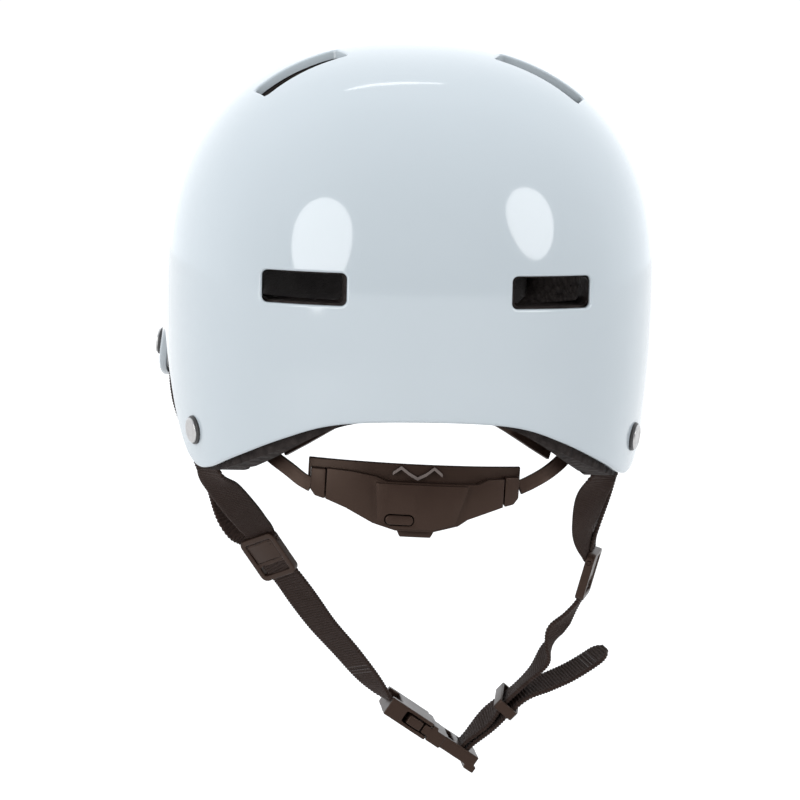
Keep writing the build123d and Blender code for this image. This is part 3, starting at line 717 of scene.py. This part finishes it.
def smooth_stations(stations, step):
    """Centres and across directions at even steps along a smooth curve through listed stations."""
    p = np.array([s[0] for s in stations], float)
    a = np.array([s[1] for s in stations], float)
    a /= np.linalg.norm(a, axis=1, keepdims=True)
    both = np.concatenate([p, a * ACROSS_SCALE], 1)
    both = np.concatenate([2 * both[:1] - both[1:2], both, 2 * both[-1:] - both[-2:-1]])
    samples = []
    for k in range(1, len(both) - 2):
        p0, p1, p2, p3 = both[k - 1:k + 3]
        for t in np.linspace(0, 1, CURVE_SAMPLES, endpoint=False):
            samples.append(0.5 * (2 * p1 + (p2 - p0) * t + (2 * p0 - 5 * p1 + 4 * p2 - p3) * t**2
                                  + (3 * p1 - p0 - 3 * p2 + p3) * t**3))
    samples.append(both[-2])
    samples = np.array(samples)
    along = np.concatenate([[0], np.cumsum(np.linalg.norm(np.diff(samples[:, :3], axis=0), axis=1))])
    count = max(FEWEST_ROWS, int(along[-1] / step))
    places = np.linspace(0, along[-1], count)
    fine_rows = np.stack([np.interp(places, along, samples[:, i]) for i in range(6)], 1)
    centre, across = fine_rows[:, :3], fine_rows[:, 3:]
    ahead = np.gradient(centre, axis=0)
    ahead /= np.linalg.norm(ahead, axis=1, keepdims=True)
    across = across - (across * ahead).sum(1, keepdims=True) * ahead
    across /= np.linalg.norm(across, axis=1, keepdims=True)
    return centre, across, np.cross(ahead, across), places


def webbing(name, stations, width=WEB_WIDTH, thick=WEB_THICK, rib=RIB_DEPTH, step=WEB_STEP, round_end=0.0):
    """A ribbed tape mesh with its length in UV millimetres."""
    centre, across, face, places = smooth_stations(stations, step)
    shares = [-1, -0.985, -0.94, -0.84, -0.6, -0.3, 0, 0.3, 0.6, 0.84, 0.94, 0.985, 1]
    profile = [(u, 1) for u in shares] + [(u, -1) for u in reversed(shares)]
    rows = []
    for i in range(len(centre)):
        wave = rib * (1 - 2 * abs(sin(pi * places[i] / RIB_PITCH)) ** 3)
        left = places[-1] - places[i]
        half_width = width / 2 + wave * SIDE_RIB
        if left < round_end:
            half_width *= max(END_WIDTH, 1 - (1 - left / round_end) ** 2) ** 0.5
        row = []
        for u, top in profile:
            edge = max(0.0, (abs(u) - EDGE_START) / EDGE_SPAN)
            half = thick / 2 * max(0.0, 1 - edge**2) ** 0.5
            selvage = SELVAGE if 0.8 < abs(u) < 0.95 else 0.0
            ridge = wave if abs(u) < 0.9 else wave * EDGE_RIB
            lift = half + ridge * (1 - edge) + selvage * (1 - edge)
            row.append(centre[i] + across[i] * u * half_width + face[i] * lift * top)
        rows.append(row)
    count = len(profile)
    points = np.array(rows).reshape(-1, 3)
    faces = band_faces(len(rows), count)
    faces.append(tuple(reversed(range(count))))
    faces.append(tuple((len(rows) - 1) * count + i for i in range(count)))
    mesh = outward(mesh_from(name, points, faces))
    layer = mesh.uv_layers.new(name="UVMap")
    for loop in mesh.loops:
        r, i = divmod(loop.vertex_index, count)
        layer.data[loop.index].uv = (profile[i][0] * width / 2, places[r])
    mesh.set_sharp_from_angle(angle=WEB_CREASE)
    return mesh


def strap(name, stations, bodies, ends, *replaced, **sizes):
    """A webbing piece riding on its one body, or on none when it is given two. The end points are not used.
    """
    bends = len(bodies) == 2
    mesh = webbing(name, stations, **sizes)
    piece = new_piece(name, mesh, tape, None if bends else bodies[0], "webbing", *replaced)
    if bends:
        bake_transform(piece)


# rear and front tapes: out from between shell and liner, down to the dividers
strap("left_rear_tape",
      [((-93.0, -62.0, -8.0), (0.55, -0.83, 0.0)), ((-91.0, -63.6, -17.0), (0.58, -0.81, 0.0)),
       ((-87.5, -63.5, -26.0), (0.66, -0.75, 0.05)), ((-81.5, -53, -34), (0.88, -0.40, 0.25)),
       ((-74.0, -38, -45.0), (0.90, -0.28, 0.33)), ((-69.0, -24, -53), (0.80, -0.50, 0.36)),
       ((-65.2, -13.6, -59.2), (0.72, -0.59, 0.37)), ((-61.0, -11.0, -66.0), (0.72, -0.59, 0.37))],
      ("helmet", "left_harness"), ((-92, -62, -12), (-84, -57, -31)), "left_rear_strap", "rear_web_end_left")
strap("left_front_tape",
      [((-105.0, 33, 17.0), (0.1, 0.99, 0.0)), ((-105.0, 32, 6.0), (0.1, 0.99, 0.0)),
       ((-103.0, 28, -4.0), (0.12, 0.98, 0.0)), ((-98, 21.0, -15), (0.2, 0.95, 0.1)),
       ((-91, 12, -28), (0.3, 0.9, 0.15)), ((-83.5, 2, -42), (0.38, 0.86, 0.25)),
       ((-77, -6, -54), (0.60, 0.45, 0.35)), ((-69.2, -9.0, -61.2), (0.70, -0.45, 0.38)),
       ((-64.5, -9.6, -66.8), (0.72, -0.59, 0.37))],
      ("helmet", "left_harness"), ((-105, 32, 8), (-101, 23, -14)), "left_front_strap", "front_web_end_left")
strap("right_rear_tape",
      [((92.0, -62.0, -8.0), (0.55, 0.83, 0.0)), ((88.0, -63.8, -17.0), (0.62, 0.78, 0.0)),
       ((82.5, -63.0, -26.0), (0.85, 0.5, 0.0)), ((80.0, -52, -35), (0.95, 0.25, 0.1)),
       ((80.0, -37, -47), (0.75, 0.6, 0.1)), ((81.5, -23, -57), (0.5, 0.85, 0.1)),
       ((84.6, -13.5, -65.0), (0.36, 0.92, 0.06)), ((86.0, -11.0, -72.0), (0.30, 0.94, 0.05))],
      ("helmet", "right_harness"), ((92, -62, -12), (81, -58, -30)), "right_rear_strap", "rear_web_end_right")
strap("right_front_tape",
      [((105.0, 33, 17.0), (-0.1, 0.99, 0.0)), ((105.5, 32, 6.0), (-0.1, 0.99, 0.0)),
       ((104.5, 29, -4.0), (-0.12, 0.98, 0.0)), ((102, 22.5, -15), (-0.15, 0.97, 0.1)),
       ((98.0, 12.5, -29), (-0.15, 0.96, 0.1)), ((93.5, 3, -43), (-0.1, 0.97, 0.1)),
       ((89.6, -4.5, -56), (0.1, 0.97, 0.1)), ((87.4, -8.2, -65), (0.25, 0.95, 0.06)),
       ((86.6, -9.6, -72), (0.30, 0.94, 0.05))],
      ("helmet", "right_harness"), ((105, 32, 8), (102, 23, -14)), "right_front_strap", "front_web_end_right")
# chin tapes: from the dividers to the buckle, and the loose end past the adjuster
LEFT_CHIN_RUN = [((-66.5, -11.2, -63.8), (0.72, -0.59, 0.37)), ((-60.4, -10.2, -70.3), (0.72, -0.59, 0.37)),
                 ((-54.0, -9.4, -77.6), (0.72, -0.59, 0.37)), ((-48.8, -7.2, -84.4), (0.74, -0.56, 0.36)),
                 ((-43.0, -2.5, -93), (0.76, -0.53, 0.36)), ((-34.5, 3.5, -105), (0.72, -0.60, 0.34)),
                 ((-23.5, 9.5, -118), (0.68, -0.66, 0.32)), ((-13.5, 14.5, -130.5), (0.60, -0.76, 0.28)),
                 ((-6.4, 17.6, -138.8), (0.40, -0.91, 0.15)), ((-1.0, 18.6, -144.0), (0.1, -1.0, 0.0))]
strap("left_chin_tape", LEFT_CHIN_RUN,
      ("left_harness", "chin"), ((-57, -9.5, -74), (-46, -5, -88)), "left_chin_strap")
strap("right_chin_tape",
      [((86.4, -10.4, -72.0), (0.30, 0.94, 0.05)), ((85.0, -9.6, -80.0), (0.30, 0.94, 0.05)),
       ((82.6, -9.0, -88.0), (0.30, 0.94, 0.05)), ((78.5, -6.6, -95.0), (0.45, 0.88, 0.05)),
       ((74.0, -2.5, -102.5), (0.75, 0.62, 0.1)), ((72.2, 1.5, -109.5), (0.55, 0.82, 0.1)),
       ((69.0, 6.0, -118.5), (-0.2, 0.97, 0.1)), ((62.0, 10.5, -129.5), (0.0, 1.0, 0.0)),
       ((51.5, 14.5, -141.5), (0.0, 1.0, 0.0)), ((43.5, 17.6, -151.0), (-0.2, 0.97, 0.17)),
       ((34.4, 19.6, -161.2), (0.0, 1.0, 0.0)), ((31.0, 20.2, -165.5), (0.0, 1.0, 0.0))],
      ("plug", "chin"), ((60, 12, -133), (83, -9, -88)), "right_chin_strap")
TAIL_RUN = [((34.0, 20.2, -166.4), (0.0, 1.0, 0.0)), ((37.4, 19.6, -162.2), (0.0, 1.0, 0.0)),
            ((45.6, 17.4, -152.8), (-0.2, 0.97, 0.17)), ((53.8, 14.6, -143.6), (-0.2, 0.97, 0.17)),
            ((61.0, 14.5, -137.8), (-0.2, 0.97, 0.2)), ((71.0, 17.0, -134.0), (-0.15, 0.97, 0.3)),
            ((82.0, 19.5, -129.5), (-0.15, 0.96, 0.3)), ((92.0, 21.5, -123.8), (-0.15, 0.96, 0.28)),
            ((99.6, 22.9, -118.4), (-0.15, 0.96, 0.28))]
strap("tail_tape", TAIL_RUN, ("plug",), None, "strap_tail", round_end=7.0)

# ---------------------------------------------------------------------------------------------------
# Bar tacks: rows of polyester thread across the tape on both faces, where it is folded back and sewn
# at the buckle and at the loose end. The same points-and-turns copying places the stitches.
thread, thread_tree, thread_shader = new_material("thread", (0.06, 0.045, 0.04), 0.6, Sheen_Weight=0.1)
twist = pattern(thread_tree, "TexNoise", Scale=900.0, Detail=2.0)
bump(thread_tree, thread_shader, twist.outputs["Fac"], 0.0001, 0.6)
STITCH = ((0.02, -0.80), (0.17, -0.68), (0.24, -0.35), (0.25, 0.0), (0.24, 0.35), (0.17, 0.68), (0.02, 0.80))
STITCH_SIDES, STITCHES, STITCH_LIFT = 10, 8, 0.28
TACK_ROWS, TACK_GAP, TACK_MARGINS = 3, 2.2, 3.4


def bar_tack(name, stations, at, body):
    """Rows of stitches across a tape from a distance before its end, laid on both faces."""
    centre, across, face, places = smooth_stations(stations, WEB_STEP)
    spots = []
    for row in range(TACK_ROWS):
        k = int(np.searchsorted(places, at % places[-1] + row * TACK_GAP))
        for top in (1, -1):
            for share in np.linspace(-0.5, 0.5, STITCHES):
                sideways = across[k] * share * (WEB_WIDTH - TACK_MARGINS)
                place = centre[k] + sideways + face[k] * top * (WEB_THICK / 2 + STITCH_LIFT)
                spots.append((place, face[k] * top, across[k]))
    copies(name, turned(name, STITCH, STITCH_SIDES), thread, spots, body, "webbing")


bar_tack("buckle_tack", LEFT_CHIN_RUN, -26.0, "chin")
bar_tack("tail_tack", TAIL_RUN, -13.0, "plug")

# ---------------------------------------------------------------------------------------------------
# Moulded parts: dividers, cradle and buckle, in dark brown-black acetal with a fine spark-eroded
# texture. Each takes its frame shape, with its edges rounded as the mould leaves them.
MOULD_GRAIN, BEVEL_STEPS, BEVEL_ANGLE, MOULD_CREASE = 0.32, 3, radians(32), radians(38)
WELD, FLAT_ANGLE = 1e-6, radians(1.2)
acetal, acetal_tree, acetal_shader = new_material("moulded_acetal", (0.030, 0.017, 0.0125), 0.36,
                                                  Specular_IOR_Level=0.28, Specular_Tint=(1.0, 0.74, 0.60, 1))
spark = pattern(acetal_tree, "TexNoise", Scale=1300.0, Detail=3.0)
smear = pattern(acetal_tree, "TexNoise", Scale=70.0, Detail=3.0)
vary_colour(acetal_tree, acetal_shader, smear.outputs["Fac"], (0.022, 0.012, 0.009), (0.034, 0.020, 0.0155))
vary_roughness(acetal_tree, acetal_shader, smear.outputs["Fac"], 0.28, 0.46)
bump(acetal_tree, acetal_shader, spark.outputs["Fac"], 0.00004, 0.5)


def softened(node, body, slot, passes):
    """The frame's own shape with all its edges melted round, as on small thick mouldings."""
    work = work_object(node + "_work", nodes[node].data.copy())
    skin = work.modifiers.new("skin", "REMESH")
    skin.mode = "VOXEL"
    skin.voxel_size = MOULD_GRAIN * MM
    melt = work.modifiers.new("melt", "SMOOTH")
    melt.factor = 0.5
    melt.iterations = passes
    mesh = smoothed(modified(work))
    bpy.data.objects.remove(work)
    mesh.name = node + "_moulded"
    new_piece(node + "_moulded", mesh, acetal, body, slot, node)


def moulded(node, body, slot, rounding):
    """The frame's own shape with rounded edges."""
    mesh = nodes[node].data.copy()
    cleaner = bmesh.new()
    cleaner.from_mesh(mesh)
    bmesh.ops.remove_doubles(cleaner, verts=cleaner.verts, dist=WELD)
    bmesh.ops.dissolve_limit(cleaner, angle_limit=FLAT_ANGLE, verts=cleaner.verts, edges=cleaner.edges)
    cleaner.to_mesh(mesh)
    cleaner.free()
    work = work_object(node + "_work", mesh)
    edge = work.modifiers.new("edge", "BEVEL")
    edge.width = rounding * MM
    edge.segments = BEVEL_STEPS
    edge.limit_method = "ANGLE"
    edge.angle_limit = BEVEL_ANGLE
    rounded = smoothed(modified(work))
    bpy.data.objects.remove(work)
    rounded.set_sharp_from_angle(angle=MOULD_CREASE)
    rounded.name = node + "_moulded"
    new_piece(node + "_moulded", rounded, acetal, body, slot, node)


for side in ("left", "right"):
    softened(f"{side}_divider", f"{side}_harness", "hardware", passes=12)
    moulded(f"{side}_divider_flap", f"{side}_flap", "hardware", rounding=0.3)
    moulded(f"{side}_end_cap", f"{side}_cap", "hardware", rounding=0.5)
    moulded(f"{side}_arm_eye", "cradle", "flex_plastic", rounding=0.4)
    moulded(f"{side}_stud", "helmet", "hardware", rounding=0.3)
    moulded(f"{side}_height_band", "cradle", "flex_plastic", rounding=0.4)
for node, body, slot, rounding in (("cradle_cover", "cradle", "hardware", 1.1),
                                   ("cradle_frame", "cradle", "flex_plastic", 0.5),
                                   ("cradle_tab", "cradle", "flex_plastic", 0.4),
                                   ("cradle_button", "release_button", "hardware", 0.35),
                                   ("strap_keeper", "plug", "keeper", 0.4)):
    moulded(node, body, slot, rounding=rounding)
for node, body in (("buckle_socket", "chin"), ("buckle_plug", "plug"), ("buckle_button_rear", "button_rear"),
                   ("buckle_button_front", "button_front")):
    softened(node, body, "hardware", passes=16)

# ---------------------------------------------------------------------------------------------------
# Flexible arms of the cradle: flat straps moulded with it, from the end caps to the studs inside.
ARM_WIDTH, ARM_THICK, ARM_STEP = 6.0, 2.2, 1.0
for side, name in ((-1, "left"), (1, "right")):
    route = [((side * 43.8 - 1.5, -96.6, -25.4), (0.0, 0.15, 1.0)),
             ((side * 48.5 - 1.0, -95.0, -23.2), (0.0, 0.15, 1.0)),
             ((side * 54.5, -92.0, -19.6), (0, 0.2, 1.0)), ((side * 61.5, -86.0, -15.0), (0, 0.3, 1.0)),
             ((side * 67.0, -77.5, -10.0), (0, 0.5, 1.0)), ((side * 70.2, -68.5, -4.0), (0, 0.6, 1.0))]
    mesh = webbing(f"{name}_arm_strap", route, width=ARM_WIDTH, thick=ARM_THICK, rib=0.0, step=ARM_STEP)
    arm = new_piece(f"{name}_arm_strap", mesh, acetal, None, "flex_plastic", f"{name}_arm")
    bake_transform(arm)

wire, wire_tree, wire_shader = new_material("dark_wire", (0.17, 0.14, 0.13), 0.38, Metallic=1.0)
wire_grain = pattern(wire_tree, "TexNoise", Scale=400.0, Detail=2.0)
bump(wire_tree, wire_shader, wire_grain.outputs["Fac"], 0.00004, 0.5)
for node in ("rear_washer_left", "rear_washer_right", "front_washer_left", "front_washer_right"):
    dress(node, steel)
dress("cradle_spring", wire)
